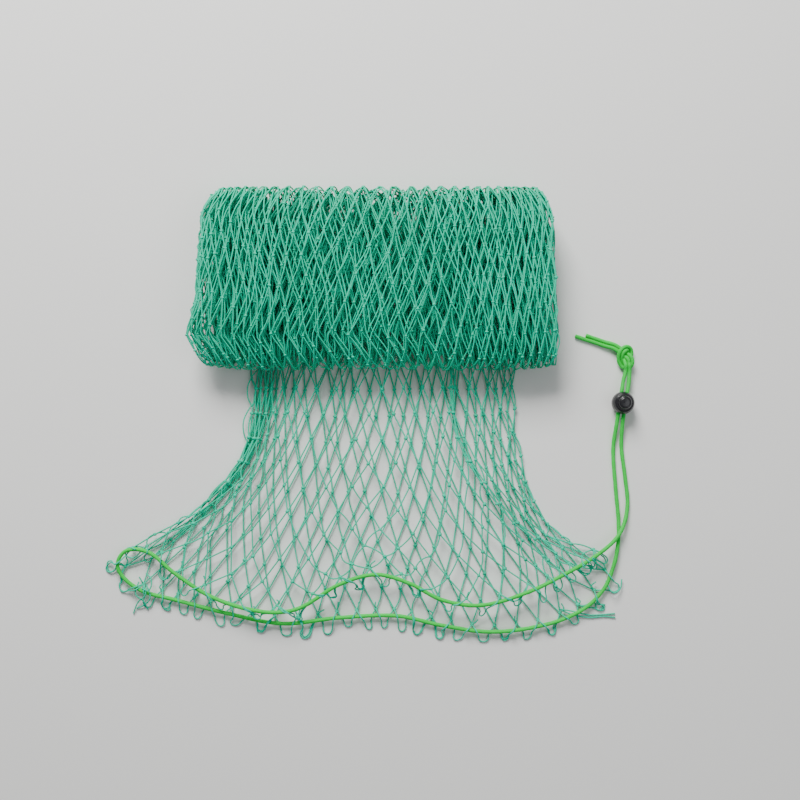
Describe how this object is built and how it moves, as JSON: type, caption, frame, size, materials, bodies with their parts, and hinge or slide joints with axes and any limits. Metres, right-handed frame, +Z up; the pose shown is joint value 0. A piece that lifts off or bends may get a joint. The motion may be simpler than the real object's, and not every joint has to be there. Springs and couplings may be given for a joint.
{
  "type": "rolled drawstring fishing net",
  "caption": "Tube of knotted green mesh, wound into a flattened roll with its drawstring mouth spread out flat, closed by a cord lock.",
  "frame": {"origin": "middle of the net's outline on the surface that it lies on", "axes": "+X along the roll, -Y towards the spread mouth, +Z up from the surface"},
  "size_m": [0.4106, 0.356, 0.0435],
  "materials": {
    "net_twine": "twisted green twine, slight sheen",
    "drawstring_cord": "braided lime green cord",
    "lock_plastic": "glossy black moulded plastic"
  },
  "bodies": {
    "root": {"net": "net_twine", "drawstring": "drawstring_cord", "long_tail": "drawstring_cord", "short_tail": "drawstring_cord", "stopper_knot": "drawstring_cord", "cord_lock": "lock_plastic"}
  },
  "joints": []
}
